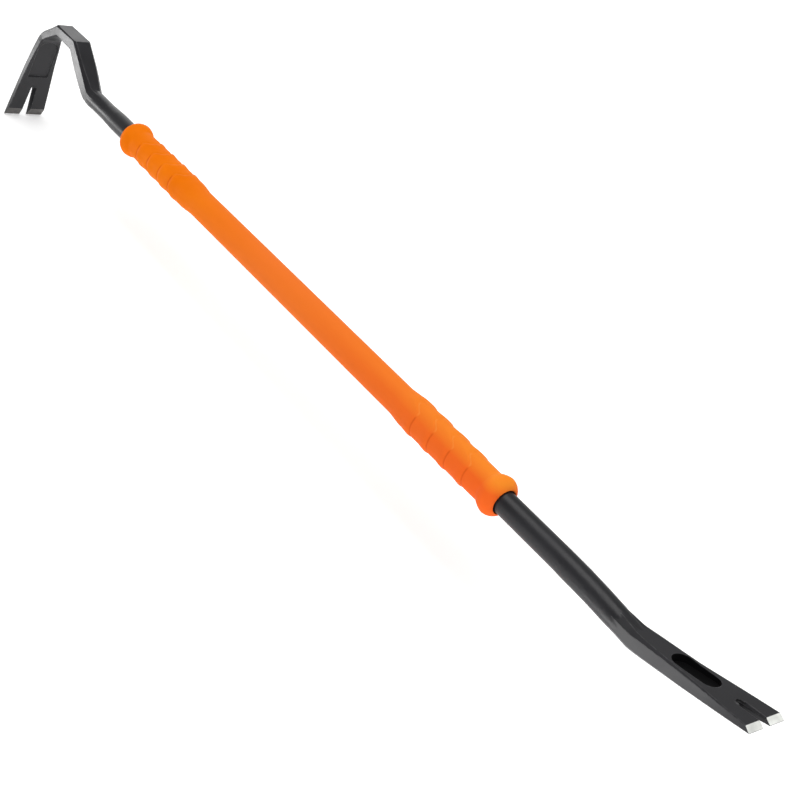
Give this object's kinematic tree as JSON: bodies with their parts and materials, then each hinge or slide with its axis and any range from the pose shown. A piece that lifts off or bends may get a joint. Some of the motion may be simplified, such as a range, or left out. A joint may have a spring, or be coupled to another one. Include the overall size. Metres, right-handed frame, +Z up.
{
  "type": "pry bar",
  "caption": "Long forged steel pry bar with a forked gooseneck claw, a forked chisel end and a collared, ribbed soft grip over most of its shank.",
  "frame": {"origin": "middle of the bounding box's bottom face: halfway between the claw tip and the chisel tip, on the bar's plane of symmetry, level with the claw tips", "axes": "+X along the shank from the claw to the chisel, +Z up towards the gooseneck's heel, away from the claw tips, and +Y sideways across the blades"},
  "size_m": [1.0184, 0.0418, 0.1178],
  "materials": {
    "coated_steel": "satin",
    "bare_steel": "ground",
    "core_plastic": "matte",
    "grip_rubber": "satin"
  },
  "bodies": {
    "root": {"steel_bar": "coated_steel", "core_shell_left": "core_plastic", "core_shell_right": "core_plastic", "grip_sleeve": "grip_rubber"}
  },
  "joints": []
}
